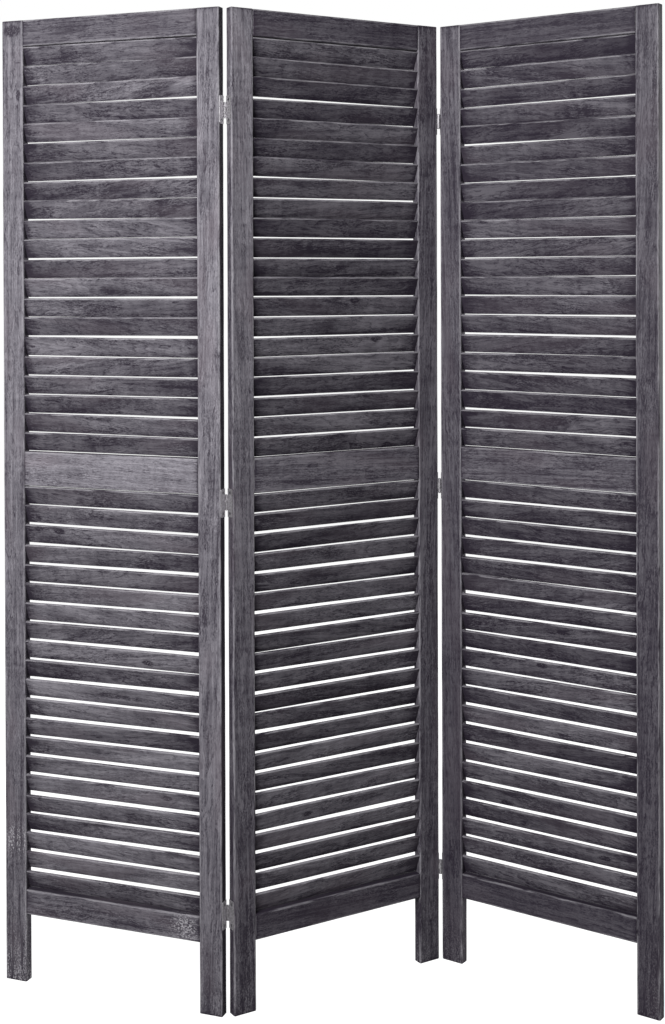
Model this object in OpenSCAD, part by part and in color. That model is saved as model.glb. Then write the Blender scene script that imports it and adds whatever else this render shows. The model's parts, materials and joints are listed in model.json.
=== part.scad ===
// Free-standing folding screen: three louvred wooden panels, hinged in a zigzag.
// Each panel lies in its own frame: X along its width from the left edge,
// Y from its front face to its back face, Z up from the floor.
// The part stands on Z = 0 with the middle of its footprint at the origin.

/* [Panels] */
// Height of the screen, from the floor to the top
panel_h = 1700; // [1500:10:2000]
// Width of one panel
panel_w = 422; // [340:1:500]
// Thickness of the stiles and rails
frame_t = 18; // [18:1:28]
// Width of each upright stile
stile_w = 42; // [38:1:60]
// Height of the top rail
top_rail_h = 46; // [40:1:80]
// Height of the mid rail, which parts the two louvres
mid_rail_h = 60; // [40:1:90]
// Height of the bottom rail
bottom_rail_h = 44; // [40:1:80]
// Length of the legs under the bottom rail
leg_h = 120; // [60:5:160]
// Radius that eases the edges of the frame
edge_r = 1.5; // [0.5:0.25:3]

/* [Louvre slats] */
// Width of a slat
slat_w = 34; // [26:0.5:35]
// Thickness of a slat
slat_t = 5; // [4:0.5:6]
// Lean of the slats off upright, top edge towards the front
slat_lean = 22; // [18:1:24]
// Spacing that the slats come closest to
slat_spacing = 34; // [32:1:44]
// Gap between a rail and the slat next to it
slat_end_gap = 0.8; // [0.8:0.1:4]
// Radius that eases the slats' long edges
slat_r = 0.8; // [0.4:0.1:1.5]
// Most that a slat set by hand leans more or less than the rest, in degrees
lean_stray = 2; // [0:0.5:3]
// Most that a slat sits above or below its even place
lift_stray = 1.2; // [0:0.1:1.5]
// Most that a slat slopes along its length, in degrees
slope_stray = 0.4; // [0:0.05:0.45]
// Share of these strays that a slat next to a rail keeps
end_slat_share = 0.25; // [0:0.05:0.25]

/* [Seeds of the slats' strays] */
// Seed of the strays in the left panel's upper louvre
left_upper_seed = 138458; // [0:1:999999]
// Seed of the strays in the left panel's lower louvre
left_lower_seed = 179835; // [0:1:999999]
// Seed of the strays in the middle panel's upper louvre
middle_upper_seed = 88410; // [0:1:999999]
// Seed of the strays in the middle panel's lower louvre
middle_lower_seed = 253514; // [0:1:999999]
// Seed of the strays in the right panel's upper louvre
right_upper_seed = 271290; // [0:1:999999]
// Seed of the strays in the right panel's lower louvre
right_lower_seed = 143863; // [0:1:999999]

/* [Wood joints] */
// Diameter of the dowels in the rail ends
dowel_d = 8; // [6:1:10]
// Length of a dowel
dowel_l = 40; // [30:1:44]
// Distance between the two dowels in one rail end
dowel_spacing = 22; // [16:1:26]
// Diameter of the pins that hold the slat ends
slat_pin_d = 1.5; // [1:0.1:2]
// Length of a slat pin, half of it in the stile
slat_pin_l = 16; // [10:1:24]
// Radial clearance round dowels, pins and screws in the wood
wood_fit = 0.05; // [0.02:0.01:0.1]
// Room left beyond the end of a dowel, pin or screw
hole_room = 0.5; // [0.2:0.1:1]

/* [Hinges] */
// Height of a hinge leaf
leaf_h = 48; // [44:1:70]
// Thickness of the leaf's sheet steel
leaf_t = 0.8; // [0.6:0.1:1]
// Gap between the edges of two panels that stand in line
edge_gap = 2.8; // [2.6:0.1:4]
// Radius of the leaf's corners away from the pin
leaf_corner_r = 3; // [1:0.5:4]
// Distance from a leaf's long edge to the faces of the stile
leaf_margin = 1; // [0.5:0.25:2]
// Height of the barrel that the knuckles make together
barrel_h = 26; // [20:1:26]
// Height of the middle knuckle
middle_knuckle_h = 9.6; // [6:0.2:12]
// Wall of the rolled knuckles
knuckle_wall = 1; // [0.9:0.05:1.4]
// Gap between one knuckle and the next
knuckle_gap = 0.2; // [0.1:0.05:0.5]
// Diameter of the hinge pin
pin_d = 2.6; // [2:0.1:3.6]
// Radial clearance between the pin and the knuckles
pin_fit = 0.05; // [0.02:0.01:0.08]
// Amount that the pin's heads stand out over its shank, all round
pin_head_lip = 0.7; // [0.4:0.1:1]
// Height of a pin head
pin_head_h = 0.9; // [0.6:0.1:1.5]
// Clearance between the barrel and the face of the panel
barrel_clearance = 0.3; // [0.3:0.1:2]
// Distance from the top of the screen down to the middle of the top hinge
top_hinge_drop = 172; // [80:1:260]
// Distance from the mid rail down to the middle of the centre hinge
centre_hinge_drop = 14; // [0:1:60]
// Height of the middle of the bottom hinge over the floor
bottom_hinge_rise = 169; // [80:1:260]

/* [Hinge screws] */
// Diameter of a screw's shank
screw_d = 3; // [2.4:0.1:3.5]
// Length of a screw, head and point included
screw_l = 16; // [10:1:18]
// Height of the screw's point
screw_point_h = 3; // [2:0.5:4]
// Distance between the two screws in one leaf
screw_spacing = 35; // [34:0.5:36]
// Amount that the screw's cone opens out from the shank to the leaf's face
screw_cone = 1.2; // [0.9:0.1:1.4]
// Width of a slot of the cross recess
recess_w = 0.6; // [0.4:0.1:0.9]
// Length of a slot of the cross recess
recess_l = 2.8; // [2:0.1:3.4]
// Depth of the cross recess
recess_d = 0.8; // [0.5:0.1:1]

/* [Zigzag] */
// Turn of the middle panel from the row of feet
middle_turn = 32; // [20:1:45]
// Angle by which the left panel is folded back from flat
left_fold = 52; // [20:1:90]
// Angle by which the right panel is folded forward from flat
right_fold = 66; // [20:1:90]

/* [Hidden] */

$fn = 48;

// Colours of the finishes
frame_grey = [0.36, 0.35, 0.37];
slat_grey = [0.29, 0.28, 0.31];
raw_wood = [0.78, 0.66, 0.50];
zinc = [0.70, 0.71, 0.70];
bright_steel = [0.62, 0.63, 0.66];

// The three panels, the two sides of one, its two louvres and the three hinge heights
LEFT = 0;
MIDDLE = 1;
RIGHT = 2;
UPPER = 0;
LOWER = 1;
TOP = 0;
CENTRE = 1;
BOTTOM = 2;

// Overlap of a cut past the face it opens in
cut = 1;

// Heights of the rails' lower edges and the openings between them
opening_w = panel_w - 2 * stile_w;
opening_h = (panel_h - leg_h - bottom_rail_h - mid_rail_h - top_rail_h) / 2;
bottom_rail_z = leg_h;
mid_rail_z = bottom_rail_z + bottom_rail_h + opening_h;
top_rail_z = panel_h - top_rail_h;

// Slats of one louvre: an even row between two rails
slat_rise = slat_w * cos(slat_lean) + slat_t * sin(slat_lean);
slat_run = opening_h - 2 * slat_end_gap - slat_rise;
slat_count = round(slat_run / slat_spacing) + 1;
slat_step = slat_run / (slat_count - 1);

// Hinge geometry: the pin stands off the edge and off the face of each panel
bore_r = pin_d / 2 + pin_fit;
barrel_r = bore_r + knuckle_wall;
pin_off = barrel_r + barrel_clearance;
outer_knuckle_h = (barrel_h - middle_knuckle_h) / 2 - knuckle_gap;

// Heights of the middles of the three hinges
hinge_zs = [panel_h - top_hinge_drop, mid_rail_z - centre_hinge_drop, bottom_hinge_rise];

// Turn of each panel about Z, and where its front left corner lies in plan
turns = [middle_turn - left_fold, middle_turn, middle_turn - right_fold];
function turned(p, a) = [p.x * cos(a) - p.y * sin(a), p.x * sin(a) + p.y * cos(a)];
left_pin = [0, 0];
middle_corner = left_pin - turned([-edge_gap / 2, frame_t + pin_off], turns[MIDDLE]);
left_corner = left_pin - turned([panel_w + edge_gap / 2, frame_t + pin_off], turns[LEFT]);
right_pin = middle_corner + turned([panel_w + edge_gap / 2, -pin_off], turns[MIDDLE]);
right_corner = right_pin - turned([-edge_gap / 2, -pin_off], turns[RIGHT]);
corners = [left_corner, middle_corner, right_corner];

// Middle of the footprint, from the eased corners of the three panels
edge_centres = [
    for (panel = [LEFT, MIDDLE, RIGHT], x = [edge_r, panel_w - edge_r],
         y = [edge_r, frame_t - edge_r])
        corners[panel] + turned([x, y], turns[panel])
];
xs = [for (p = edge_centres) p.x];
ys = [for (p = edge_centres) p.y];
footprint_middle = [(min(xs) + max(xs)) / 2, (min(ys) + max(ys)) / 2];

// Where the hinge pins stand in the finished part
left_pin_at = left_pin - footprint_middle;
right_pin_at = right_pin - footprint_middle;
echo(left_pin_at = left_pin_at, right_pin_at = right_pin_at);
echo(slats_in_a_louvre = slat_count, slat_step = slat_step);
echo(feet = [
    for (panel = [LEFT, MIDDLE, RIGHT], x = [stile_w / 2, panel_w - stile_w / 2])
        corners[panel] - footprint_middle + turned([x, frame_t / 2], turns[panel])
]);

// Moves its children from a panel's own frame to where that panel stands
module on_panel(panel) {
    translate(concat(corners[panel] - footprint_middle, 0))
        rotate(turns[panel])
            children();
}

// Side on which a stile's hinge pins stand: 1 behind the panel, -1 before it, 0 none
function pin_side(panel, side) =
    panel == LEFT && side == RIGHT || panel == MIDDLE && side == LEFT ? 1
    : panel == MIDDLE && side == RIGHT || panel == RIGHT && side == LEFT ? -1
    : 0;

// Moves its children from a hinge's frame to a panel's edge. In a hinge's frame the
// pin is the Z axis, the panel's edge is at X = -edge_gap / 2 and its thickness along +Y.
module at_hinge(panel, side, height) {
    behind = pin_side(panel, side) > 0;
    translate([
        side == LEFT ? -edge_gap / 2 : panel_w + edge_gap / 2,
        behind ? frame_t + pin_off : -pin_off,
        hinge_zs[height]
    ])
        mirror([side == LEFT ? 1 : 0, 0, 0])
            mirror([0, behind ? 1 : 0, 0])
                children();
}

// Rectangle of size x by y about its middle, with eased corners
module eased_rect(x, y, r) {
    square([x - 2 * r, y], center = true);
    square([x, y - 2 * r], center = true);
    for (i = [-1, 1], j = [-1, 1])
        translate([i * (x / 2 - r), j * (y / 2 - r)])
            circle(r);
}

// Round rod along X about the origin
module rod(d, l) {
    rotate([0, 90, 0])
        cylinder(d = d, h = l, center = true);
}

// Repeatable random numbers from -1 to 1, one for each slat of a louvre. The seeds are
// chosen so that the slits between the slats widen and narrow as on the real screen.
LIFT = 1;
SLOPE = 2;
LEAN = 3;
seeds = [
    [left_upper_seed, left_lower_seed],
    [middle_upper_seed, middle_lower_seed],
    [right_upper_seed, right_lower_seed]
];
function strays(panel, block, kind) = rands(-1, 1, slat_count, seeds[panel][block] + kind);

// Share of the strays that slat i keeps
function stray_share(i) = i == 0 || i == slat_count - 1 ? end_slat_share : 1;

// Moves its children from a slat's own middle to its place in the panel
module at_slat(panel, block, i) {
    share = stray_share(i);
    lift = share * lift_stray * strays(panel, block, LIFT)[i];
    slope = share * slope_stray * strays(panel, block, SLOPE)[i];
    lean = slat_lean + share * lean_stray * strays(panel, block, LEAN)[i];
    base = block == UPPER ? mid_rail_z + mid_rail_h : bottom_rail_z + bottom_rail_h;
    z = base + slat_end_gap + slat_rise / 2 + i * slat_step;
    translate([panel_w / 2, frame_t / 2, z + lift])
        rotate([0, slope, 0])
            rotate([lean, 0, 0])
                children();
}

// Both ends of a slat, on its own long axis
module at_slat_ends() {
    for (end = [-1, 1])
        translate([end * opening_w / 2, 0, 0])
            children();
}

// Every end of every slat in a panel
module at_all_slat_ends(panel) {
    for (block = [UPPER, LOWER], i = [0:slat_count - 1])
        at_slat(panel, block, i)
            at_slat_ends()
                children();
}

// Every dowel in a panel, two in each end of each rail
module at_dowels() {
    rails = [
        bottom_rail_z + bottom_rail_h / 2,
        mid_rail_z + mid_rail_h / 2,
        top_rail_z + top_rail_h / 2
    ];
    for (x = [stile_w, panel_w - stile_w], z = rails, half = [-1, 1])
        translate([x, frame_t / 2, z + half * dowel_spacing / 2])
            children();
}

// Both screws of a leaf, in a hinge's frame, with X out of the wood from the leaf's face
module at_screws() {
    for (half = [-1, 1])
        translate([leaf_t - edge_gap / 2, pin_off + frame_t / 2, half * screw_spacing / 2])
            children();
}

// Cone and shank of a screw, opened out all round by a clearance
module screw_body(clearance) {
    r = screw_d / 2 + clearance;
    rotate([0, -90, 0]) {
        cylinder(r1 = r + screw_cone, r2 = r, h = screw_cone);
        cylinder(r = r, h = screw_l - screw_point_h);
    }
}

// Upright stile, with the holes for its dowels, slat pins and hinge screws
module stile(panel, side) {
    x = side == LEFT ? 0 : panel_w - stile_w;
    color(frame_grey)
        on_panel(panel)
            difference() {
                translate([x + stile_w / 2, frame_t / 2, panel_h / 2])
                    intersection() {
                        linear_extrude(panel_h, center = true)
                            eased_rect(stile_w, frame_t, edge_r);
                        rotate([90, 0, 0])
                            linear_extrude(frame_t, center = true)
                                eased_rect(stile_w, panel_h, edge_r);
                        rotate([90, 0, 90])
                            linear_extrude(stile_w, center = true)
                                eased_rect(frame_t, panel_h, edge_r);
                    }
                stile_holes(panel, side);
            }
}

// Cuts in one stile. Those for dowels and slat pins are made at both sides of the
// opening, and only the ones at this stile's side reach it.
module stile_holes(panel, side) {
    at_dowels()
        rod(dowel_d + 2 * wood_fit, dowel_l + 2 * hole_room);
    at_all_slat_ends(panel)
        rod(slat_pin_d + 2 * wood_fit, slat_pin_l + 2 * hole_room);
    if (pin_side(panel, side) != 0)
        for (height = [TOP, CENTRE, BOTTOM])
            at_hinge(panel, side, height)
                at_screws() {
                    screw_body(wood_fit);
                    translate([-(screw_l + hole_room) / 2, 0, 0])
                        rod(screw_d + 2 * wood_fit, screw_l + hole_room);
                }
}

// Cross rail between the stiles, from height z up
module rail(panel, z, h) {
    color(frame_grey)
        on_panel(panel)
            difference() {
                translate([panel_w / 2, frame_t / 2, z + h / 2])
                    rotate([90, 0, 90])
                        linear_extrude(opening_w, center = true)
                            eased_rect(frame_t, h, edge_r);
                at_dowels()
                    rod(dowel_d + 2 * wood_fit, dowel_l + 2 * hole_room);
            }
}

module top_rail(panel) {
    rail(panel, top_rail_z, top_rail_h);
}

module mid_rail(panel) {
    rail(panel, mid_rail_z, mid_rail_h);
}

module bottom_rail(panel) {
    rail(panel, bottom_rail_z, bottom_rail_h);
}

// All slats of one louvre, each cut square to the stiles at its ends
module slats(panel, block) {
    color(slat_grey)
        on_panel(panel)
            for (i = [0:slat_count - 1])
                difference() {
                    intersection() {
                        at_slat(panel, block, i)
                            rotate([0, 90, 0])
                                linear_extrude(opening_w + 2 * cut, center = true)
                                    eased_rect(slat_w, slat_t, slat_r);
                        translate([stile_w, -frame_t, leg_h])
                            cube([opening_w, 3 * frame_t, panel_h - leg_h]);
                    }
                    at_slat(panel, block, i)
                        at_slat_ends()
                            rod(slat_pin_d + 2 * wood_fit, slat_pin_l + 2 * hole_room);
                }
}

// Glued dowels in the ends of the rails
module rail_dowels(panel) {
    color(raw_wood)
        on_panel(panel)
            at_dowels()
                rod(dowel_d, dowel_l);
}

// Wire pins between the slat ends and the stiles
module slat_pins(panel) {
    color(bright_steel)
        on_panel(panel)
            at_all_slat_ends(panel)
                rod(slat_pin_d, slat_pin_l);
}

// Flat plate of a leaf: full height on the stile, and a neck that reaches the barrel
module leaf_plate() {
    reach = frame_t - 2 * leaf_margin;
    translate([-edge_gap / 2, pin_off + leaf_margin, 0])
        rotate([90, 0, 90])
            linear_extrude(leaf_t) {
                translate([0, -leaf_h / 2])
                    square([reach - leaf_corner_r, leaf_h]);
                translate([0, leaf_corner_r - leaf_h / 2])
                    square([reach, leaf_h - 2 * leaf_corner_r]);
                for (half = [-1, 1])
                    translate([reach - leaf_corner_r, half * (leaf_h / 2 - leaf_corner_r)])
                        circle(leaf_corner_r);
            }
}

// Knuckle from height z up, with the neck that joins it to the plate
module knuckle(z, h) {
    translate([0, 0, z])
        cylinder(r = barrel_r, h = h);
    translate([-edge_gap / 2, 0, z])
        cube([leaf_t, pin_off + leaf_margin + cut, h]);
}

// Hinge leaf. The middle panel's leaves carry the two outer knuckles and the pin,
// and the side panels' leaves carry the knuckle between them.
module leaf(panel, side, height) {
    color(zinc)
        on_panel(panel)
            at_hinge(panel, side, height)
                difference() {
                    union() {
                        leaf_plate();
                        if (panel == MIDDLE) {
                            knuckle(-barrel_h / 2, outer_knuckle_h);
                            knuckle(barrel_h / 2 - outer_knuckle_h, outer_knuckle_h);
                        } else {
                            knuckle(-middle_knuckle_h / 2, middle_knuckle_h);
                        }
                    }
                    cylinder(r = bore_r, h = barrel_h + 2 * cut, center = true);
                    at_screws()
                        screw_body(wood_fit);
                }
}

// Hinge pin with a domed head at each end of the barrel
module hinge_pin(side, height) {
    head_r = pin_d / 2 + pin_head_lip;
    dome_r = (head_r * head_r + pin_head_h * pin_head_h) / (2 * pin_head_h);
    color(bright_steel)
        on_panel(MIDDLE)
            at_hinge(MIDDLE, side, height) {
                cylinder(d = pin_d, h = barrel_h, center = true);
                for (flip = [0, 1])
                    mirror([0, 0, flip])
                        translate([0, 0, barrel_h / 2])
                            rotate_extrude()
                                intersection() {
                                    translate([0, pin_head_h - dome_r])
                                        circle(dome_r);
                                    square([head_r, pin_head_h]);
                                }
            }
}

// Countersunk wood screws of all the leaves on one edge of a panel
module hinge_screws(panel, side) {
    color(zinc)
        on_panel(panel)
            for (height = [TOP, CENTRE, BOTTOM])
                at_hinge(panel, side, height)
                    at_screws()
                        screw();
}

// One screw, with its head's face at the origin and its point along -X
module screw() {
    difference() {
        union() {
            screw_body(0);
            translate([screw_point_h - screw_l, 0, 0])
                rotate([0, -90, 0])
                    cylinder(r1 = screw_d / 2, r2 = screw_d / 8, h = screw_point_h);
        }
        for (quarter = [0, 90])
            rotate([quarter, 0, 0])
                cube([2 * recess_d, recess_w, recess_l], center = true);
    }
}

stile(LEFT, LEFT);  // left_stile_left
stile(LEFT, RIGHT);  // left_stile_right
top_rail(LEFT);  // left_top_rail
mid_rail(LEFT);  // left_mid_rail
bottom_rail(LEFT);  // left_bottom_rail
slats(LEFT, UPPER);  // left_upper_slats
slats(LEFT, LOWER);  // left_lower_slats
rail_dowels(LEFT);  // left_rail_dowels
slat_pins(LEFT);  // left_slat_pins
stile(MIDDLE, LEFT);  // middle_stile_left
stile(MIDDLE, RIGHT);  // middle_stile_right
top_rail(MIDDLE);  // middle_top_rail
mid_rail(MIDDLE);  // middle_mid_rail
bottom_rail(MIDDLE);  // middle_bottom_rail
slats(MIDDLE, UPPER);  // middle_upper_slats
slats(MIDDLE, LOWER);  // middle_lower_slats
rail_dowels(MIDDLE);  // middle_rail_dowels
slat_pins(MIDDLE);  // middle_slat_pins
stile(RIGHT, LEFT);  // right_stile_left
stile(RIGHT, RIGHT);  // right_stile_right
top_rail(RIGHT);  // right_top_rail
mid_rail(RIGHT);  // right_mid_rail
bottom_rail(RIGHT);  // right_bottom_rail
slats(RIGHT, UPPER);  // right_upper_slats
slats(RIGHT, LOWER);  // right_lower_slats
rail_dowels(RIGHT);  // right_rail_dowels
slat_pins(RIGHT);  // right_slat_pins
leaf(LEFT, RIGHT, TOP);  // left_hinge_top_leaf
leaf(LEFT, RIGHT, CENTRE);  // left_hinge_centre_leaf
leaf(LEFT, RIGHT, BOTTOM);  // left_hinge_bottom_leaf
leaf(MIDDLE, LEFT, TOP);  // middle_left_hinge_top_leaf
leaf(MIDDLE, LEFT, CENTRE);  // middle_left_hinge_centre_leaf
leaf(MIDDLE, LEFT, BOTTOM);  // middle_left_hinge_bottom_leaf
hinge_pin(LEFT, TOP);  // left_hinge_top_pin
hinge_pin(LEFT, CENTRE);  // left_hinge_centre_pin
hinge_pin(LEFT, BOTTOM);  // left_hinge_bottom_pin
leaf(MIDDLE, RIGHT, TOP);  // middle_right_hinge_top_leaf
leaf(MIDDLE, RIGHT, CENTRE);  // middle_right_hinge_centre_leaf
leaf(MIDDLE, RIGHT, BOTTOM);  // middle_right_hinge_bottom_leaf
leaf(RIGHT, LEFT, TOP);  // right_hinge_top_leaf
leaf(RIGHT, LEFT, CENTRE);  // right_hinge_centre_leaf
leaf(RIGHT, LEFT, BOTTOM);  // right_hinge_bottom_leaf
hinge_pin(RIGHT, TOP);  // right_hinge_top_pin
hinge_pin(RIGHT, CENTRE);  // right_hinge_centre_pin
hinge_pin(RIGHT, BOTTOM);  // right_hinge_bottom_pin
hinge_screws(LEFT, RIGHT);  // left_hinge_screws
hinge_screws(MIDDLE, LEFT);  // middle_left_hinge_screws
hinge_screws(MIDDLE, RIGHT);  // middle_right_hinge_screws
hinge_screws(RIGHT, LEFT);  // right_hinge_screws
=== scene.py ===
# %% [markdown]
# A wooden folding screen. Three louvred panels stand in a zigzag on a pale floor and are joined by
# steel butt hinges. The construction model gives every board, leaf, pin and screw at its real
# place and size. This script gives them their looks: the frame is loaded first, and its box is
# kept; its height sets where the tones of the boards change.

# %% The imported screen
import json
from math import pi, radians

import bpy
import numpy as np
from mathutils import Matrix, Vector


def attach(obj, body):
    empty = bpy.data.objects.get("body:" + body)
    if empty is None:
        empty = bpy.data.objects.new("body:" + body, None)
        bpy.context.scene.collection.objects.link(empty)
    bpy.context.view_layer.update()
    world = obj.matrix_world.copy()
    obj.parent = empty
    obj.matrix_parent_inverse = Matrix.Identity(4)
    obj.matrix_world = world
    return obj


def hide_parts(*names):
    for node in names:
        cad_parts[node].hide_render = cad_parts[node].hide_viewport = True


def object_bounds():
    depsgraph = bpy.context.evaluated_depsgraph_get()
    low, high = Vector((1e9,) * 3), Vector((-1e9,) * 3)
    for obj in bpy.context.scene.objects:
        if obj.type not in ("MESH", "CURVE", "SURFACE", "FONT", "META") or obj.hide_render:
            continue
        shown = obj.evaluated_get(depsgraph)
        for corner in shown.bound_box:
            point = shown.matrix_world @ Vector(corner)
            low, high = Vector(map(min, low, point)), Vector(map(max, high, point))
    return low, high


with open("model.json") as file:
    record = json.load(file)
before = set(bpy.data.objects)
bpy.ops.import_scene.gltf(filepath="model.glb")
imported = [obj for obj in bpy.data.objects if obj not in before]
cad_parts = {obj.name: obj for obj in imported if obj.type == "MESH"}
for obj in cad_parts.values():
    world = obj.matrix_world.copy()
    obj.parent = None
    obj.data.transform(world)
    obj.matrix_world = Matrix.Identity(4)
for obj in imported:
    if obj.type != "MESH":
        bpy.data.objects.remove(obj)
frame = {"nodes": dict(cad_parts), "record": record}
nodes = frame["nodes"]
cad_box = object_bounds()
PANELS = ("left", "middle", "right")
MM = 0.001
print("nodes:", len(nodes), "box:", [round(v, 3) for corner in cad_box for v in corner])

# %% [markdown]
# Colours are written as sRGB hex values, because that is how a paint card or a picture gives them.
# Blender's shaders work in linear light, so one function turns each value once.

# %% Colours


def colour(hex_code):
    """Linear red, green, blue and alpha of an sRGB hex value such as '858288'."""
    srgb = np.array([int(hex_code[i:i + 2], 16) for i in (0, 2, 4)]) / 255
    linear = np.where(srgb <= 0.04045, srgb / 12.92, ((srgb + 0.055) / 1.055) ** 2.4)
    return (*linear.tolist(), 1.0)


print("mid grey in linear light:", [round(v, 3) for v in colour("808080")])

# %% [markdown]
# The camera stands a little to the right of the middle, at chest height, 2.7 m in front of the
# screen. Its verticals stay upright in the picture, as with an architect's lens: it looks almost
# level, and the lens is shifted down instead of the camera being tipped. Its place, turn and lens
# were found by fitting the screen's own corners to where they are in the photograph.

# %% Camera
CAMERA_AT = (0.042, -2.695, 1.246)
CAMERA_TURN = 0.58
CAMERA_TIP = 0.37
CAMERA_ROLL = -0.18
LENS_MM = 54.1
SENSOR_MM = 36
LENS_SHIFT = -0.22

lens = bpy.data.cameras.new("camera")
lens.lens, lens.sensor_width, lens.shift_y = LENS_MM, SENSOR_MM, LENS_SHIFT
camera = bpy.data.objects.new("camera", lens)
camera.matrix_world = (
    Matrix.Translation(CAMERA_AT)
    @ Matrix.Rotation(radians(CAMERA_TURN), 4, "Z")
    @ Matrix.Rotation(radians(90 - CAMERA_TIP), 4, "X")
    @ Matrix.Rotation(radians(CAMERA_ROLL), 4, "Z")
)
bpy.context.scene.collection.objects.link(camera)
bpy.context.scene.camera = camera
bpy.context.scene.view_settings.view_transform = "Standard"
print("camera", round(-CAMERA_AT[1], 2), "m in front, lens", LENS_MM, "mm")

# %% [markdown]
# Every finish is a small graph of nodes. One function adds a node with its own settings and fills
# its inputs, each with a value or with a link from another node's output, so that a graph reads
# from top to bottom like a recipe.

# %% A node and its links


def add(tree, kind, inputs=None, **settings):
    """Adds one node to a tree and returns it. Inputs are values or outputs to link from."""
    node = tree.nodes.new("ShaderNode" + kind)
    for name, value in settings.items():
        setattr(node, name, value)
    for socket, value in (inputs or {}).items():
        if isinstance(value, bpy.types.NodeSocket):
            tree.links.new(value, node.inputs[socket])
        else:
            node.inputs[socket].default_value = value
    return node


def new_material(name):
    """An empty material with a Material Output, and its node tree."""
    material = bpy.data.materials.new(name)
    material.use_nodes = True
    material.node_tree.nodes.clear()
    return material, material.node_tree


print("node helper ready")

# %% [markdown]
# The studio is plain. One large soft box high on the left of the camera gives the left panel and
# the upper part of the screen the most light. Two weak ones, behind the screen and at its right
# end, light the edges that face away. The surroundings are a dim dome that lights softly and that
# the camera sees as white. The floor is a pale diffuse sheet, lit a little from within, so that it
# stays white round the screen and still shows a faint shadow where the legs meet it. Pictures made
# with one light at a time, and held against the photograph, gave the strengths of all but the end
# light.

# %% Floor, surroundings and lights
FLOOR_HALF = 9.0
DOME_LIGHT = 0.12
FLOOR_GLOW = 0.93
FLOOR_PALE = 0.4

scene = bpy.context.scene
scene.world = bpy.data.worlds.new("studio_dome")
scene.world.use_nodes = True
sky = scene.world.node_tree
sky.nodes.clear()
seen = add(sky, "LightPath").outputs["Is Camera Ray"]
strength = add(sky, "MapRange", {"Value": seen, "To Min": DOME_LIGHT, "To Max": 1.0})
dome = add(sky, "Background", {"Color": colour("ffffff"), "Strength": strength.outputs[0]})
add(sky, "OutputWorld", {"Surface": dome.outputs[0]})

corners = np.array([(-1, -1, 0), (1, -1, 0), (1, 1, 0), (-1, 1, 0)]) * FLOOR_HALF
floor_mesh = bpy.data.meshes.new("floor")
floor_mesh.from_pydata(corners.tolist(), [], [(0, 1, 2, 3)])
floor = bpy.data.objects.new("floor", floor_mesh)
scene.collection.objects.link(floor)

floor_finish, tree = new_material("pale_floor")
seen = add(tree, "LightPath").outputs["Is Camera Ray"]
paint = add(tree, "BsdfDiffuse", {"Color": (FLOOR_PALE, FLOOR_PALE, FLOOR_PALE, 1)})
glow = add(tree, "Emission", {"Color": colour("ffffff"), "Strength": FLOOR_GLOW})
lit = add(tree, "AddShader", {0: paint.outputs[0], 1: glow.outputs[0]})
sheet = add(tree, "MixShader", {"Fac": seen, 1: paint.outputs[0], 2: lit.outputs[0]})
add(tree, "OutputMaterial", {"Surface": sheet.outputs[0]})
floor_mesh.materials.append(floor_finish)


def soft_box(name, place, aim, size, watts):
    """A square soft light at a place, turned to look at a point."""
    light = bpy.data.lights.new(name, "AREA")
    light.shape, light.size, light.energy = "SQUARE", size, watts
    box = bpy.data.objects.new(name, light)
    box.location = place
    box.rotation_mode = "QUATERNION"
    box.rotation_quaternion = (Vector(place) - Vector(aim)).to_track_quat("Z", "Y")
    box.visible_camera = False
    scene.collection.objects.link(box)


soft_box("key_light", place=(-1.2, -2.5, 2.6), aim=(-0.1, 0, 1.15), size=1.5, watts=110)
soft_box("back_light", place=(0.9, 3.0, 2.6), aim=(0.1, 0, 1.0), size=2.0, watts=30)
soft_box("end_light", place=(2.6, 1.2, 1.1), aim=(0.55, -0.1, 0.9), size=1.0, watts=40)
print("stage ready: floor", 2 * FLOOR_HALF, "m wide")

# %% [markdown]
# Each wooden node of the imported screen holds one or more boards. Its mesh is loose triangles, so
# the corners that lie on each other are merged first. Corners that share a triangle then get the
# same number, again and again, until every board has one number of its own. A board is symmetric,
# so the main directions of its corners are its own length, width and thickness.

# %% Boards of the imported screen


def merged(node):
    """Corner points of a node with doubles merged, and its triangles as rows of indices."""
    mesh = nodes[node].data
    mesh.calc_loop_triangles()
    points = np.empty(len(mesh.vertices) * 3)
    mesh.vertices.foreach_get("co", points)
    triangles = np.empty(len(mesh.loop_triangles) * 3, int)
    mesh.loop_triangles.foreach_get("vertices", triangles)
    _, first, same = np.unique(
        np.round(points.reshape(-1, 3), 6), axis=0, return_index=True, return_inverse=True
    )
    return points.reshape(-1, 3)[first], same.ravel()[triangles].reshape(-1, 3)


def solids(node):
    """Corner points of each separate solid in a node. The lowest number in a triangle spreads
    to its corners, and each number then follows its own, until nothing changes."""
    points, triangles = merged(node)
    label = np.arange(len(points))
    while True:
        before = label.copy()
        lowest = label[triangles].min(axis=1)
        for corner in range(3):
            np.minimum.at(label, triangles[:, corner], lowest)
        label = label[label]
        if (label == before).all():
            return [points[label == one] for one in np.unique(label)]


def box_along(points, axes):
    """Middle and size of the box round some points, along three unit rows."""
    local = points @ axes.T
    low, high = local.min(axis=0), local.max(axis=0)
    return (low + high) / 2 @ axes, high - low


def main_directions(points):
    """Unit rows along the largest, middle and least spread of some points."""
    return np.linalg.svd(points - points.mean(axis=0), full_matrices=False)[2]


for node in ("left_upper_slats", "middle_lower_slats"):
    found = solids(node)
    size = box_along(found[0], main_directions(found[0]))[1]
    print(node, len(found), "slats, the first", np.round(size / MM, 2), "mm")

# %% [markdown]
# A panel's width runs along its rails. The grain of a board runs along its length: upwards in a
# stile, and across the panel in a rail or slat. Every board gets three unit directions of its own:
# along the grain, across the board's face, and deep into it.

# %% Grain directions
UP = np.array([0.0, 0.0, 1.0])


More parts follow.
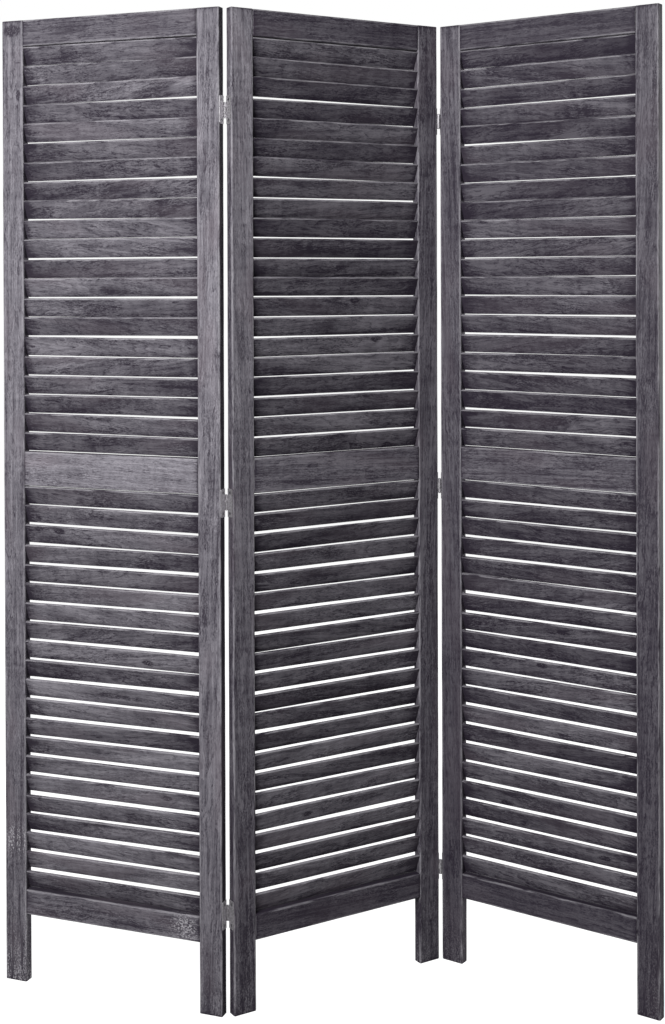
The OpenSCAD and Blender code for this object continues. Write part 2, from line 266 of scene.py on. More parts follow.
def panel_width(panel):
    """Unit direction from left to right along a panel's top rail."""
    along = main_directions(merged(f"{panel}_top_rail")[0])[0]
    return along * np.sign(along[0])


def board_axes(along, across):
    """Rows along the grain, across the face and deep, square to each other."""
    return np.array([along, across, np.cross(along, across)])


def frame_board(panel, part):
    """One stile or rail as (middle, size, axes)."""
    width = panel_width(panel)
    axes = board_axes(UP, width) if "stile" in part else board_axes(width, UP)
    return *box_along(merged(f"{panel}_{part}")[0], axes), axes


def slat_boards(panel, part):
    """All slats of one louvre, from the lowest up, as (middle, size, axes)."""
    width = panel_width(panel)
    rows = []
    for points in solids(f"{panel}_{part}"):
        along, across, _ = main_directions(points)
        axes = board_axes(along * np.sign(along @ width), across * np.sign(across[2]))
        rows.append((*box_along(points, axes), axes))
    return sorted(rows, key=lambda row: row[0][2])


for panel in PANELS:
    turn = np.degrees(np.arctan2(*panel_width(panel)[1::-1]))
    size = frame_board(panel, "stile_left")[1]
    print(panel, "panel turned", round(turn, 2), "degrees, stile", np.round(size / MM, 1), "mm")

# %% [markdown]
# A real board isn't a sharp box. Its long edges were eased with sandpaper by hand, so their radius
# wanders, and a thin slat bows and twists a little between its ends. Each board is therefore a
# rounded outline carried along its length: the outline is a function of one parameter round the
# board, the radius, bow and twist are functions of a second one along it, and both ends are closed
# by a shallow bevel and a flat face. Extra points just inside every edge keep the flats flat when
# the surface is shaded smooth.

# %% Shape of a board
ARC = np.radians([0, 30, 60, 90])
FACE_STOPS = np.array([0.93, 0.5, 0.0, -0.5, -0.93])
EDGE_STOPS = np.array([0.7, 0.0, -0.7])
RADIUS_WANDER = 0.28
WANDER_REACH = 0.4
END_BEVEL = 0.5 * MM
END_HOLD = 0.9 * MM
END_STOPS = np.array([0.0, 1.5, 4, 9, 18, 32]) * MM


def wander(rng, x, reach, steps=5):
    """A smooth random line from -1 to 1 along x: sines of falling wavelength from reach down."""
    n = np.arange(1, steps + 1)[:, None]
    phase = rng.uniform(0, 2 * pi, (steps, 1))
    weight = rng.uniform(0.4, 1.0, (steps, 1)) / n ** 0.5
    return (weight * np.sin(2 * pi * n * x / reach + phase)).sum(axis=0) / weight.sum()


def outline(width, thick, radius):
    """Points round a board: four arcs of the given radii, joined by flats with a few stops each.
    The radius is a column, one value a ring, so the result is a row of points a ring."""
    y, z = [], []
    for k, (side_y, side_z) in enumerate([(1, 1), (-1, 1), (-1, -1), (1, -1)]):
        middle_y, middle_z = side_y * (width / 2 - radius), side_z * (thick / 2 - radius)
        y.append(middle_y + radius * np.cos(ARC + k * pi / 2))
        z.append(middle_z + radius * np.sin(ARC + k * pi / 2))
        if k % 2 == 0:
            y.append(middle_y * FACE_STOPS)
            z.append(np.repeat(side_z * thick / 2, len(FACE_STOPS)) + 0 * radius)
        else:
            y.append(np.repeat(side_y * width / 2, len(EDGE_STOPS)) + 0 * radius)
            z.append(middle_z * EDGE_STOPS)
    return np.concatenate(y, axis=1), np.concatenate(z, axis=1)


def wear_and_highlight_round(arc_wear_and_highlight, edge_wear_and_highlight):
    """How much wear and painted highlight each point of the outline gets: the arc amount on the
    arcs, the edge amount on the two narrow sides and 0 on the two wide faces, in the order of the
    outline."""
    arc = np.full(len(ARC), arc_wear_and_highlight)
    flats = (np.zeros(len(FACE_STOPS)), np.full(len(EDGE_STOPS), edge_wear_and_highlight))
    return np.concatenate([np.append(arc, flats[k % 2]) for k in range(4)])


def stations(length, pitch):
    """Places of the rings along a board, closer together near its ends."""
    inner = length / 2 - END_BEVEL - END_STOPS
    middle = np.linspace(inner[-1], -inner[-1], max(3, round(2 * inner[-1] / pitch)))
    return np.concatenate([inner[:-1], middle, -inner[:-1][::-1]])[::-1]


def board_surface(size, radius, pitch, rng, bow=0.0, twist=0.0):
    """Points of one board in its own axes, ring by ring, then the two end points.
    A ring at x is the outline of that place, turned by twist * x / length and moved by
    bow * cos(pi x / length), so both ends stay where they are held."""
    length, width, thick = size
    x = stations(length, pitch)
    r = radius * (1 + RADIUS_WANDER * wander(rng, x, WANDER_REACH))[:, None]
    y, z = outline(width, thick, r)
    insets = np.array([[END_BEVEL + END_HOLD], [END_BEVEL]])
    share_y, share_z = 1 - 2 * insets / width, 1 - 2 * insets / thick
    y = np.concatenate([y[:1] * share_y, y, y[-1:] * share_y[::-1]])
    z = np.concatenate([z[:1] * share_z, z, z[-1:] * share_z[::-1]])
    x = np.concatenate([[-length / 2] * 2, x, [length / 2] * 2])[:, None]
    curve = np.cos(pi * x / length)
    bow_y, bow_z = bow * rng.uniform(-1, 1, 2)
    angle = twist * rng.uniform(-1, 1) * x / length
    turned_y = y * np.cos(angle) - z * np.sin(angle) + bow_y * curve
    turned_z = y * np.sin(angle) + z * np.cos(angle) + bow_z * curve
    rings = np.stack([np.broadcast_to(x, y.shape), turned_y, turned_z], axis=-1)
    poles = np.array([rings[0].mean(axis=0), rings[-1].mean(axis=0)])
    return rings, poles


def board_faces(rings, around):
    """Quads between neighbouring rings and triangles from each end point, facing outwards."""
    i, j = np.meshgrid(np.arange(rings - 1), np.arange(around), indexing="ij")
    k = (j + 1) % around
    quads = np.stack([i * around + j, i * around + k, (i + 1) * around + k,
                      (i + 1) * around + j], axis=-1).reshape(-1, 4)
    j, k = np.arange(around), (np.arange(around) + 1) % around
    last, pole = (rings - 1) * around, rings * around
    start = np.stack([k, j, np.full(around, pole)], axis=-1)
    end = np.stack([last + j, last + k, np.full(around, pole + 1)], axis=-1)
    return quads, np.concatenate([start, end])


slat_size = slat_boards("left", "upper_slats")[0][1]
rings, poles = board_surface(slat_size, 0.9 * MM, 16 * MM, np.random.default_rng(1))
print("a slat has", rings.shape[0], "rings of", rings.shape[1], "points")

# %% [markdown]
# Wood carries its pattern inside it: the rings and fibres of the trunk run on through every face of
# a board that was sawn from it. Each point of a board is therefore given its place in an imagined
# trunk, whose heart lies some centimetres behind the board and slopes a little, so that the saw
# cuts the rings in long arches. That place is stored in the mesh for the finish to read, with how
# near the point is to an edge, to an end, to the floor and to a knot, and with the board's tone at
# that height, which is partly painted light. The edges are paler where the wash was rubbed off, and
# this also paints the highlight that light lays along a rounded edge. The darkening is partly stain
# and partly painted shade: the frame's ends show dark joint lines, while the ends and lower edges of
# the slats and nearly all sides of the frame that face a louvre are darkened as painted shade, in
# the corners between slats and frame where little light reaches.

# %% A board's place in the trunk
HEART_ASIDE = 0.4
HEART_DEPTHS = (0.6, 1.4)
TRUNK_LENGTH = 40
KICK_REACH = 0.08
LEG_REACH = 0.15
SCUFF_SIZE = 18 * MM
SCUFF_DEPTH = 2.5
LOW_REACH = 7 * MM
ROUNDING = 0.1 * MM
NOWHERE = (9.0, 9.0)
louvre_z = [frame_board("left", rail)[0][2] for rail in ("bottom_rail", "top_rail")]


def trunk_place(points, rng, heart_depth, drift):
    """Place in the trunk of points given along, across and deep. It is a plain shift and shear:
    along is kept, and across and deep are measured from a heart that drifts along the board."""
    along, across, deep = np.moveaxis(points, -1, 0)
    side, slope_y, slope_z = rng.uniform(-1, 1, 3) * (HEART_ASIDE * heart_depth, drift, drift)
    heart = heart_depth * rng.uniform(*HEART_DEPTHS)
    start = rng.uniform(0, TRUNK_LENGTH)
    return np.stack([along + start, across + side + slope_y * along,
                     deep + heart + slope_z * along], axis=-1)


def marks(local, rings, size, height, own, look):
    """What the finish reads at each point of one board, by name. Its wear and highlight is highest
    on an edge and on the bevels of both ends. Its stain and painted shade falls from the look's end
    amount at an end, a dark joint on the frame and painted shade at a slat's ends, from the look's
    lower-edge amount at the lower edge, painted shade behind the slat below, and from the board's
    own leg amount at the floor. It changes by the board's own side on both narrow sides, and by its
    own louvre pair where those face a louvre, which is painted shade. Scuffed falls from the
    board's own kicks at the floor and from SCUFF_DEPTH at its scuff. From_knot is the way from its
    nearest knot, counted in that knot's reach along and across."""
    x, y = local[:, 0], local[:, 1]
    # Edges: paler rubbed wood, which also paints the highlight that light lays along them.
    wear_and_highlight = np.tile(wear_and_highlight_round(look["arc_wear_and_highlight"], look["edge_wear_and_highlight"]), (rings, 1))
    wear_and_highlight[[1, -2]] = 1
    wear_and_highlight[[0, -1]] = 0
    sides = np.stack([y < ROUNDING - size[1] / 2, y > size[1] / 2 - ROUNDING])
    by_louvre = (height > louvre_z[0]) & (height < louvre_z[1])
    # Stain and painted shade: dark joint lines at the frame's ends, painted shade at the slats' ends
    # and lower edges and on frame sides that face a louvre.
    stain_and_painted_shade = (look["end_stain_and_shade"] * np.exp((np.abs(x) - size[0] / 2) / look["end_reach"])
               + look["low_edge_shade"] * np.exp(-(y + size[1] / 2) / LOW_REACH)
               + own["leg_darkening"] * np.exp(-height / LEG_REACH)
               + own["side"] * sides.any(axis=0)
               + by_louvre * (own["louvre"] @ sides))
    to_scuff = np.hypot(x - own["scuff"][0], y - own["scuff"][1])
    ways = np.array([(local[:, :2] - place) / reach for place, reach in own["knots"]])
    nearest = np.hypot(ways[..., 0], ways[..., 1]).argmin(axis=0)
    from_knot = np.pad(ways[nearest, np.arange(len(local))], ((0, 0), (0, 1)))
    return {"wear_and_highlight": np.append(wear_and_highlight.ravel(), [0, 0]),
            "stain_and_painted_shade": stain_and_painted_shade,
            "scuffed": (own["kicks"] * np.exp(-height / KICK_REACH)
                        + SCUFF_DEPTH * np.exp(-(to_scuff / SCUFF_SIZE) ** 2)),
            "from_knot": from_knot}


def wood_piece(name, boards, own_marks, tone_and_light_of, look, rng):
    """One mesh of boards. Each board is (middle, size, axes) and has a row of marks of its own,
    the tone function gives how dark boards are at a height, partly as painted light, which a board
    takes its share of, with a lean from one end to the other, and look holds the radius of its
    edges, the pitch of its rings, its bow and twist, the depth and drift of the heart, and how its
    edges wear and take painted highlight and how it takes stain and painted shade."""
    points, quads, triangles, stored = [], [], [], []
    count = 0
    for (middle, size, axes), own in zip(boards, own_marks):
        rings, poles = board_surface(size, look["radius"], look["pitch"], rng,
                                     look["bow"], look["twist"])
        local = np.concatenate([rings.reshape(-1, 3), poles])
        four, three = board_faces(*rings.shape[:2])
        points.append(middle + local @ axes)
        quads.append(four + count)
        triangles.append(three + count)
        count += len(local)
        row = marks(local, len(rings), size, points[-1][:, 2], own, look)
        row["grain"] = trunk_place(local, rng, look["heart_depth"], look["drift"])
        along = local[:, 0] / size[0]
        row["tone_and_light"] = (own["share"] + own["lean"] * along) * tone_and_light_of(points[-1][:, 2])
        stored.append(row)
    mesh = bpy.data.meshes.new(name)
    faces = np.concatenate(quads).tolist() + np.concatenate(triangles).tolist()
    mesh.from_pydata(np.concatenate(points), [], faces)
    mesh.polygons.foreach_set("use_smooth", np.ones(len(faces), bool))
    for key in stored[0]:
        values = np.concatenate([row[key] for row in stored])
        kind, field = ("FLOAT", "value") if values.ndim == 1 else ("FLOAT_VECTOR", "vector")
        mesh.attributes.new(key, kind, "POINT").data.foreach_set(field, values.ravel())
    piece = bpy.data.objects.new(name, mesh)
    scene.collection.objects.link(piece)
    return piece


print("louvres from", round(louvre_z[0], 3), "to", round(louvre_z[1], 3), "m high")

# %% [markdown]
# The wood is paulownia, a light and open-grained timber, brushed with a thin grey wash and rubbed
# back. The wash sits in layers: broad clouds where more of it was left, streaks and long fine lines
# along the grain, short fibres that run in slight waves, specks where the wash dried in the open
# pores, and dark dashes where the pores stayed empty. The rings show as thin dark arches, and broad
# zones of them took the stain more or less, with a sharp rim on one side. The planer left faint
# ripples across the grain, and it tore the fibres in patches, where they and the specks show about
# twice as strongly. All sizes below are real ones in millimetres, along the grain and across it.
# Only fibres, specks and pores are drawn about twice as coarse as real ones, so that they show in
# the picture.

# %% Wash and grain patterns
CLOUD_MM = (120, 28)
STREAK_MM = (110, 6)
LINE_MM = (170, 2.8)
FIBRE_MM = (11, 1.4)
SPECK_MM = (3.4, 1.8)
TORN_MM = (60, 25)
RIPPLE_MM = (13, 80)
PORE_MM = (9, 1.3)
WAVE_MM = (55, 22)
WAVE_REACH_MM = 5.0
RING_MM = 5.0
ZONE_MM = 26.0
RING_WOBBLE_MM = (90, 16)
WOBBLE_REACH_MM = 25.0
TINT_MM = (160, 60)


def scaled_place(tree, where, size_mm):
    """The trunk place counted in lumps that are so many millimetres along and across."""
    along, across = (1 / (size * MM) for size in size_mm)
    return add(tree, "VectorMath", {0: where, 1: (along, across, across)},
               operation="MULTIPLY").outputs[0]


def noise_of_size(tree, where, size_mm, detail=3.0):
    """A soft random pattern from 0 to 1 whose lumps are so many millimetres along and across."""
    return add(tree, "TexNoise", {"Vector": scaled_place(tree, where, size_mm), "Scale": 1.0,
                                  "Detail": detail}).outputs[0]


def waved(tree, where):
    """The trunk place moved sideways by soft random waves, so that fibres don't run dead straight."""
    soft = add(tree, "TexNoise", {"Vector": scaled_place(tree, where, WAVE_MM), "Scale": 1.0,
                                  "Detail": 1.0}).outputs["Color"]
    centred = add(tree, "VectorMath", {0: soft, 1: (0.5, 0.5, 0.5)}, operation="SUBTRACT")
    reach = 2 * WAVE_REACH_MM * MM
    return add(tree, "VectorMath", {0: centred.outputs[0], 1: (0, reach, reach), 2: where},
               operation="MULTIPLY_ADD").outputs[0]


def rings_of(tree, where, ring_mm, power):
    """Rings of the trunk: the distance from its heart, wandering a little, counted in rings. The
    share of a ring that has passed, to a power: at 1 it is a zone that darkens to a sharp rim,
    and at 3 a thin dark line with a soft inner side."""
    flat = add(tree, "VectorMath", {0: where, 1: (0, 1, 1)}, operation="MULTIPLY")
    radius = add(tree, "VectorMath", {0: flat.outputs[0]}, operation="LENGTH")
    wobble = noise_of_size(tree, where, RING_WOBBLE_MM, 2.0)
    count = add(tree, "Math", {0: radius.outputs["Value"], 1: 1 / (ring_mm * MM)},
                operation="MULTIPLY")
    moved = add(tree, "Math", {0: wobble, 1: WOBBLE_REACH_MM / ring_mm, 2: count.outputs[0]},
                operation="MULTIPLY_ADD")
    passed = add(tree, "Math", {0: moved.outputs[0]}, operation="FRACT")
    return add(tree, "Math", {0: passed.outputs[0], 1: power}, operation="POWER").outputs[0]


def above(tree, pattern, low, high):
    """0 where a pattern is under low, 1 where it is over high, and a smooth step between."""
    return add(tree, "MapRange", {"Value": pattern, "From Min": low, "From Max": high},
               interpolation_type="SMOOTHSTEP").outputs[0]


def times(tree, first, second):
    """Two patterns multiplied, so that the result shows only where both do."""
    return add(tree, "Math", {0: first, 1: second}, operation="MULTIPLY").outputs[0]


def weighed(tree, soft, masks=(), middle=0.5):
    """Middle, plus weight * (pattern - 0.5) for each soft pattern, plus weight * mask for each
    mask, which is 0 nearly everywhere. Patterns and masks come with their weights."""
    total = middle - sum(weight for _, weight in soft) / 2
    for pattern, weight in (*soft, *masks):
        total = add(tree, "Math", {0: pattern, 1: weight, 2: total},
                    operation="MULTIPLY_ADD").outputs[0]
    return total


print("rings", RING_MM, "mm apart, fibres", FIBRE_MM[1], "mm wide")

# %% [markdown]
# The finish reads the trunk place and turns the sum of its layers into a colour from nearly black
# stain to pale wash. The board's own tone darkens it, and evens out the pattern on the palest
# boards, where the wash is thickest; the tone's change with height is partly painted light. A little
# violet from the black stain stays visible in the darkest of it. A faint reddish tint shows where the
# wash is thin. Speckled knots hold more stain. The frame is darker at the joints at its ends, and the
# corners beside and below the slats are darkened as painted shade. Rubbed edges and scuffs show the
# dry wood under the wash, which is equally pale on every board; the rubbed edges are partly painted
# highlight, standing in for the light that a rounded edge catches. Dried water-based wash on
# open-pored wood is matt, so its roughness is high, and its index of refraction is that of an acrylic
# binder, 1.49, which unfinished wood has nearly too. Fibres stand up and pores and rings are sunk by
# a few hundredths of a millimetre, which a bump shows.

# %% Grey-washed wood
VIOLET = "180b22"
WASH_IOR = 1.49
WASH_ROUGHNESS = (0.62, 0.86)
GRAIN_RELIEF = 0.25 * MM
TORN_STEP = (0.4, 0.62)
TORN_STRENGTH = (0.6, 1.4)
TINT_SHARE = 0.3
EVEN_SHADE = 0.57
DARKEST, PALEST = 0.05, 0.95


def washed_wood(name, dark, mid, pale, rubbed_and_highlight, thin, cloudy, lined):
    """Grey wash over open grain, in hex colours from the deepest stain to an edge sanded back to the
    wood, whose pale also paints the highlight along that edge, and a last one for where the wash is
    thin, with the weights of its clouds and of its long lines."""
    material, tree = new_material(name)
    read = {key: add(tree, "Attribute", attribute_name=key).outputs["Fac"]
            for key in ("tone_and_light", "wear_and_highlight", "stain_and_painted_shade", "scuffed")}
    where = add(tree, "Attribute", attribute_name="grain").outputs["Vector"]
    wavy = waved(tree, where)
    cloud = noise_of_size(tree, where, CLOUD_MM, 2.0)
    streak = noise_of_size(tree, wavy, STREAK_MM)
    line = noise_of_size(tree, where, LINE_MM, 2.0)
    zone = rings_of(tree, where, ZONE_MM, 1.0)
    ripple = noise_of_size(tree, where, RIPPLE_MM, 1.0)
    fibre = noise_of_size(tree, wavy, FIBRE_MM)
    speck = noise_of_size(tree, wavy, SPECK_MM, 2.0)
    torn = add(tree, "MapRange", {"Value": noise_of_size(tree, where, TORN_MM, 1.0),
                                  "From Min": TORN_STEP[0], "From Max": TORN_STEP[1],
                                  "To Min": TORN_STRENGTH[0],
                                  "To Max": TORN_STRENGTH[1]}).outputs[0]
    rough_zone = weighed(tree, [(zone, 0.7)], middle=1.0)
    fine = times(tree, weighed(tree, [(fibre, 1.1), (speck, 0.8)], middle=0.0),
                 times(tree, torn, rough_zone))
    pore = above(tree, noise_of_size(tree, wavy, PORE_MM, 1.0), 0.58, 0.7)
    ring = times(tree, rings_of(tree, wavy, RING_MM, 3.0), above(tree, cloud, 0.4, 0.6))
    aside = add(tree, "Attribute", attribute_name="from_knot").outputs["Vector"]
    far = add(tree, "VectorMath", {0: aside}, operation="LENGTH").outputs["Value"]
    knot = times(tree, above(tree, far, 1.0, 0.3), above(tree, speck, 0.38, 0.55))
    # The stain-and-shade mark darkens the wash: dark joints, and painted shade in the corners between
    # slats and frame.
    layers = weighed(tree, [(cloud, cloudy), (streak, 0.9), (line, lined), (zone, -0.22),
                            (ripple, 0.35)],
                     [(fine, 1.0), (pore, -0.3), (ring, -0.4), (read["stain_and_painted_shade"], -0.5),
                      (knot, -1.5)], 0.0)
    contrast = weighed(tree, [], [(read["tone_and_light"], -0.75)], 1.45)
    shade = add(tree, "Math", {0: layers, 1: contrast, 2: EVEN_SHADE}, operation="MULTIPLY_ADD")
    ramp = add(tree, "ValToRGB", {"Fac": shade.outputs[0]})
    stops = ramp.color_ramp.elements
    stops[0].position, stops[0].color = DARKEST, colour(dark)
    stops[1].position, stops[1].color = PALEST, colour(pale)
    stops.new(0.5).color = colour(mid)
    tint = times(tree, above(tree, noise_of_size(tree, where, TINT_MM, 1.0), 0.5, 0.7), TINT_SHARE)
    washed = add(tree, "Mix", {0: tint, "A": ramp.outputs["Color"], "B": colour(thin)[:3]},
                 data_type="VECTOR")
    # Rubbed edges: real wear, and painted highlight along the rounded edges.
    rub_and_highlight = times(tree, above(tree, streak, 0.38, 0.56), times(tree, fibre, read["wear_and_highlight"]))
    scuff = times(tree, above(tree, streak, 0.38, 0.52), above(tree, speck, 0.5, 0.6))
    bared_and_highlit = add(tree, "Math", {0: scuff, 1: read["scuffed"], 2: rub_and_highlight}, operation="MULTIPLY_ADD",
               use_clamp=True)
    toned = add(tree, "VectorMath", {0: washed.outputs["Result"], 1: read["tone_and_light"],
                                     2: colour(VIOLET)[:3]}, operation="MULTIPLY_ADD")
    paint = add(tree, "Mix", {0: bared_and_highlit.outputs[0], "A": toned.outputs[0],
                              "B": colour(rubbed_and_highlight)[:3]}, data_type="VECTOR")
    height = weighed(tree, [(fibre, 0.6), (speck, 0.4)], [(pore, -0.5), (ring, -0.25)])
    bump = add(tree, "Bump", {"Height": height, "Strength": 0.6, "Distance": GRAIN_RELIEF})
    rough = add(tree, "MapRange", {"Value": speck, "To Min": WASH_ROUGHNESS[0],
                                   "To Max": WASH_ROUGHNESS[1]})
    wood = add(tree, "BsdfPrincipled", {"Base Color": paint.outputs["Result"], "IOR": WASH_IOR,
                                        "Roughness": rough.outputs[0],
                                        "Normal": bump.outputs[0]})
    add(tree, "OutputMaterial", {"Surface": wood.outputs[0]})
    return material


frame_finish = washed_wood("grey_washed_frame", dark="363437", mid="7d7b80", pale="a7a4aa",
                           rubbed_and_highlight="aeabb1", thin="877c81", cloudy=1.0, lined=1.0)
slat_finish = washed_wood("grey_washed_slat", dark="2f2d30", mid="7d7b80", pale="a9a6ac",
                          rubbed_and_highlight="b1aeb4", thin="80777c", cloudy=1.5, lined=0.4)
print("finishes:", frame_finish.name, slat_finish.name)

# %% [markdown]
# The boards took the wash differently: the left panel is the lightest and the right one the
# darkest, and each board has one tone, or one at its foot and one at its top, or a third one
# between them. The changes with height are partly painted light, standing in for how the light on
# the screen changes from its foot to its top. The slats differ most from each other, because each
# was stained by itself, and lighter at one end than at the other. Three legs are darker near the
# floor, and the left one was scuffed there. The sides of the frame that face a louvre get painted
# shade, except that on the middle panel's right stile the side facing its louvres stays as pale as
# its front. The stiles and rails stay straight. The slats bow and twist by parts of a millimetre,
# so the slits of light between them narrow and widen. A few boards hold a small knot.

# %% Stiles, rails and slats
TONE_STOPS = {1: (1,), 2: (0, 1), 3: (0, 0.74, 1)}
# Tones from the floor up. Their change with height is partly painted light, standing in for how the
# light on the screen changes from foot to top.
BOARD_TONE_AND_LIGHT = {
    "left": {"stile_left": (0.50, 0.80, 0.60), "stile_right": (0.51, 0.86, 0.60),
             "top_rail": (0.36,), "mid_rail": (1.0,), "bottom_rail": (0.48,), "slats": (0.79, 0.53)},
    "middle": {"stile_left": (0.40, 0.85), "stile_right": (0.37, 0.45), "top_rail": (0.29,),
               "mid_rail": (0.50,), "bottom_rail": (0.22,), "slats": (0.72, 0.41)},
    "right": {"stile_left": (0.17, 0.42), "stile_right": (0.20, 0.42), "top_rail": (0.21,),
              "mid_rail": (0.41,), "bottom_rail": (0.19,), "slats": (0.52, 0.28)},
}
SLAT_SPREAD = {"left": 0.26, "middle": 0.36, "right": 0.4}
SLAT_LEAN = 0.55
SLAT_KNOT_CHANCE = 0.12
USUAL_KICKS = 0.25
USUAL_SIDE = 0.25
# Painted shade on the sides of the frame that face a louvre, in the corners where little light
# reaches.
USUAL_LOUVRE_SHADE = 2.0
NO_KNOT = [(NOWHERE, (1.0, 1.0))]
BOARD_KNOTS = {("left", "stile_left"): [((0.832, -0.001), (0.013, 0.022)),
                                        ((0.718, 0.0115), (0.012, 0.0055))],
               ("right", "top_rail"): [((0.02, 0.008), (0.012, 0.006))]}
SLAT_KNOT_REACH = (0.014, 0.007)
BOARD_SCUFFS = {("left", "stile_left"): (-0.6, 0.0), ("left", "bottom_rail"): (0.142, 0.0)}
BOARD_SIDE = {("left", "stile_left"): 0.2, ("left", "stile_right"): 1.5,
              ("middle", "stile_left"): 0.5, ("right", "stile_right"): 0.1}
FLOOR_KICKS = {("left", "stile_left"): 1.0}
# Three legs are darker near the floor.
LEG_DARKENING = {("left", "stile_left"): 0.45, ("middle", "stile_left"): 0.4,
             ("right", "stile_right"): 0.3}
# The middle panel's right stile takes that painted shade back beside its louvres.
LOUVRE_SHADE = {("middle", "stile_right"): -0.25}
FACES_LOUVRE = {"stile_left": (0, 1), "stile_right": (1, 0)}
# At its ends a frame board shows a dark joint line; a slat's ends get painted shade where they meet
# the stiles.
FRAME_LOOK = {"radius": 2.1 * MM, "pitch": 12 * MM, "bow": 0.0, "twist": 0.0,
              "heart_depth": 60 * MM, "drift": 0.03, "arc_wear_and_highlight": 0.8, "edge_wear_and_highlight": 0.0,
              "end_reach": 2.5 * MM, "end_stain_and_shade": 1.6, "low_edge_shade": 0.0}
# A slat's lower edge gets painted shade, where it lies behind the top of the slat below.
SLAT_LOOK = {"radius": 0.9 * MM, "pitch": 16 * MM, "bow": 0.3 * MM, "twist": 0.006,
             "heart_depth": 45 * MM, "drift": 0.12, "arc_wear_and_highlight": 1.0, "edge_wear_and_highlight": 0.8,
             "end_reach": 10 * MM, "end_stain_and_shade": 1.4, "low_edge_shade": 0.4}
FRAME_PARTS = ("stile_left", "stile_right", "top_rail", "mid_rail", "bottom_rail")
SLAT_PARTS = ("upper_slats", "lower_slats")


def tone_and_light_at(height, panel, part):
    """Tone of a board at some heights, which is partly painted light. Its tones are given from the
    floor up, at shares of the screen's height that depend on how many there are, and run straight
    from each to the next."""
    tones = BOARD_TONE_AND_LIGHT[panel][part]
    return np.interp(height / cad_box[1][2], TONE_STOPS[len(tones)], tones)


def frame_marks(panel, part):
    """The marks that one stile or rail has of its own."""
    key = (panel, part)
    return {"share": 1.0, "lean": 0.0, "knots": BOARD_KNOTS.get(key, NO_KNOT),
            "scuff": BOARD_SCUFFS.get(key, NOWHERE), "kicks": FLOOR_KICKS.get(key, USUAL_KICKS),
            "side": BOARD_SIDE.get(key, USUAL_SIDE), "leg_darkening": LEG_DARKENING.get(key, 0.0),
            "louvre": (LOUVRE_SHADE.get(key, USUAL_LOUVRE_SHADE)
                       * np.array(FACES_LOUVRE.get(part, (1, 1))))}


def slat_marks(length, width, spread, rng, lean_rng):
    """The marks that one slat has of its own: its share of the tone, how that leans from its left
    end to its right one, and for a few a knot."""
    share = rng.uniform(1 - spread, 1 + spread)
    lean = lean_rng.uniform(-SLAT_LEAN, SLAT_LEAN)
    place = rng.uniform(-0.4, 0.4, 2) * (length, width)
    knots = [(place, SLAT_KNOT_REACH)] if rng.uniform() < SLAT_KNOT_CHANCE else NO_KNOT
    return {"share": share, "lean": lean, "knots": knots, "scuff": NOWHERE, "kicks": 0.0,
            "side": 0.0, "leg_darkening": 0.0, "louvre": (0, 0)}


rng = np.random.default_rng(7)
lean_rng = np.random.default_rng(5)
for panel in PANELS:
    for part in FRAME_PARTS:
        board = wood_piece(f"washed_{panel}_{part}", [frame_board(panel, part)],
                           [frame_marks(panel, part)],
                           lambda height: tone_and_light_at(height, panel, part), FRAME_LOOK, rng)
        board.data.materials.append(frame_finish)
        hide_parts(f"{panel}_{part}")
        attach(board, f"{panel}_panel")
    for part in SLAT_PARTS:
        boards = slat_boards(panel, part)
        own_marks = [slat_marks(*size[:2], SLAT_SPREAD[panel], rng, lean_rng)
                     for _, size, _ in boards]
        louvre = wood_piece(f"washed_{panel}_{part}", boards, own_marks,
                            lambda height: tone_and_light_at(height, panel, "slats"), SLAT_LOOK, rng)
        louvre.data.materials.append(slat_finish)
        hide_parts(f"{panel}_{part}")
        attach(louvre, f"{panel}_panel")
    print(panel, "panel:", len(FRAME_PARTS), "frame boards and two louvres of", len(boards))

# %% [markdown]
# The hinges are pressed from zinc-plated sheet steel. Zinc plating is a dull silver with faint
# cloudy patches and fine scratches from handling. The screws are plated too; their heads are
# painted darker than the leaves, which is painted shade for the recess and the ring of shade round
# each head. The pins and the wire nails in the slats are bright drawn steel, smoother and a little
# darker. A metal's colour is its reflection, so all are fully metallic, and the patterns only change
# how rough they are and how bright.

# %% Steel and raw wood
TIMBER_FIBRE_MM = (6, 0.8)


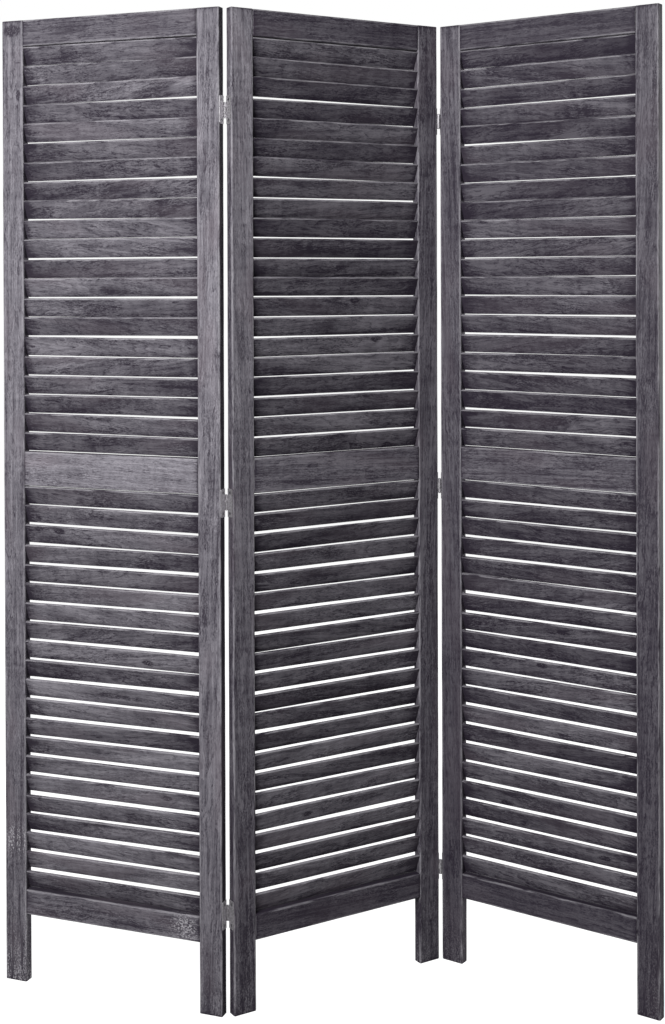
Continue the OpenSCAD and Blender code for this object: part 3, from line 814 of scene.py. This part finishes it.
def steel(name, dull, bright, patch_mm, scratch_mm, rough):
    """Metal whose cloudy patches go from a dull to a bright hex colour, with fine scratches."""
    material, tree = new_material(name)
    place = add(tree, "TexCoord").outputs["Object"]
    patch = noise_of_size(tree, place, (patch_mm, patch_mm))
    scratch = noise_of_size(tree, place, scratch_mm, 1.0)
    ramp = add(tree, "ValToRGB", {"Fac": weighed(tree, [(patch, 1.6), (scratch, 0.5)])})
    ramp.color_ramp.elements[0].color = colour(dull)
    ramp.color_ramp.elements[1].color = colour(bright)
    dulled = add(tree, "MapRange", {"Value": scratch, "To Min": rough - 0.1,
                                    "To Max": rough + 0.15})
    bump = add(tree, "Bump", {"Height": scratch, "Strength": 0.3, "Distance": 0.03 * MM})
    metal = add(tree, "BsdfPrincipled", {"Base Color": ramp.outputs["Color"], "Metallic": 1.0,
                                         "Roughness": dulled.outputs[0],
                                         "Normal": bump.outputs[0]})
    add(tree, "OutputMaterial", {"Surface": metal.outputs[0]})
    return material


def raw_timber(name, dark, pale):
    """Unstained turned beech of a dowel: pale, with short darker fibres."""
    material, tree = new_material(name)
    place = add(tree, "TexCoord").outputs["Object"]
    fibre = noise_of_size(tree, place, TIMBER_FIBRE_MM)
    ramp = add(tree, "ValToRGB", {"Fac": fibre})
    ramp.color_ramp.elements[0].color = colour(dark)
    ramp.color_ramp.elements[1].color = colour(pale)
    wood = add(tree, "BsdfPrincipled", {"Base Color": ramp.outputs["Color"], "IOR": WASH_IOR,
                                        "Roughness": 0.7})
    add(tree, "OutputMaterial", {"Surface": wood.outputs[0]})
    return material


FINISHES = {
    "zinc_steel": steel("zinc_plated_steel", dull="979599", bright="e9e6ea", patch_mm=3,
                        scratch_mm=(8, 0.4), rough=0.6),
    "bright_steel": steel("bright_drawn_steel", dull="96989c", bright="c8cacd", patch_mm=2,
                          scratch_mm=(6, 0.3), rough=0.3),
    "raw_wood": raw_timber("turned_beech", dark="a5835c", pale="d9bd94"),
}
# Darker screw heads: painted shade for the recess and the ring of shade round each head.
SHADE_PAINTED_SCREW_STEEL = steel("shade_painted_screw_steel", dull="55565a", bright="b4b5b8", patch_mm=1.5,
                    scratch_mm=(4, 0.3), rough=0.35)
dressed = 0
for row in frame["record"]["subparts"]:
    if row["material_slot"] in FINISHES:
        shape = nodes[row["node"]]
        finish = SHADE_PAINTED_SCREW_STEEL if "screws" in row["node"] else FINISHES[row["material_slot"]]
        shape.data.materials.clear()
        shape.data.materials.append(finish)
        dressed += 1
print("steel and dowels:", dressed, "nodes")
